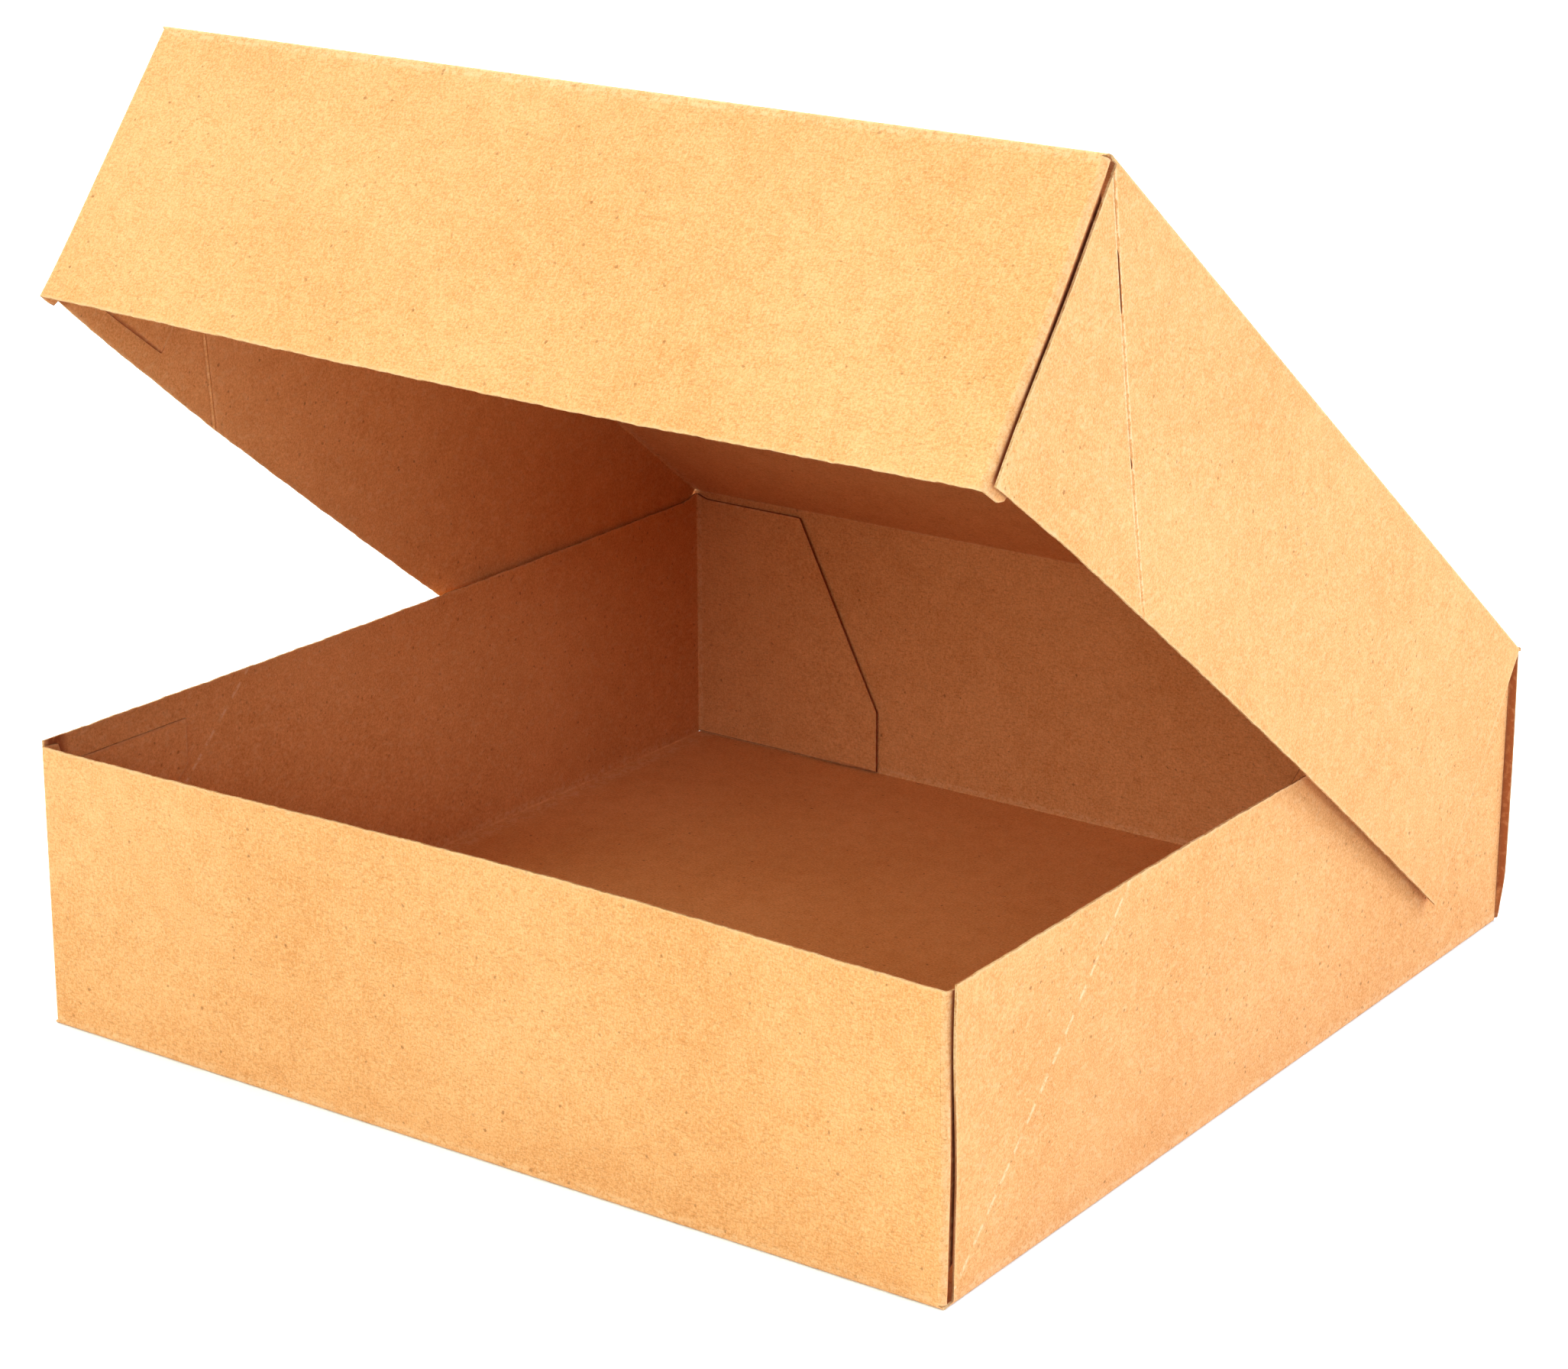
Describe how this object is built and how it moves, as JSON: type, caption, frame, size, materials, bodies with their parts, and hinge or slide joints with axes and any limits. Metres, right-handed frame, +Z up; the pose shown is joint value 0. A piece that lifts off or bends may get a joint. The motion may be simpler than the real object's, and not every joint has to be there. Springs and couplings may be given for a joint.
{
  "type": "kraft bakery box",
  "caption": "Shallow square kraft board bakery box folded from one blank, its hinged lid raised, with glued pop-up corners and lid sides that close outside the tray.",
  "frame": {"origin": "centre of the tray's underside, on the surface it stands on", "axes": "+X to the right along the front wall, +Y back towards the lid's crease, +Z up"},
  "size_m": [0.2318, 0.2354, 0.2087],
  "materials": {
    "kraft_board": "uncoated matt kraft board"
  },
  "bodies": {
    "tray": {"tray": "kraft_board"},
    "lid": {"lid": "kraft_board"}
  },
  "joints": [
    {"name": "lid_hinge", "type": "hinge", "parent": "tray", "child": "lid", "pos_m": [0, 0.1175, 0.0665], "axis": [-1, 0, 0], "range_deg": [-37, 143]}
  ]
}
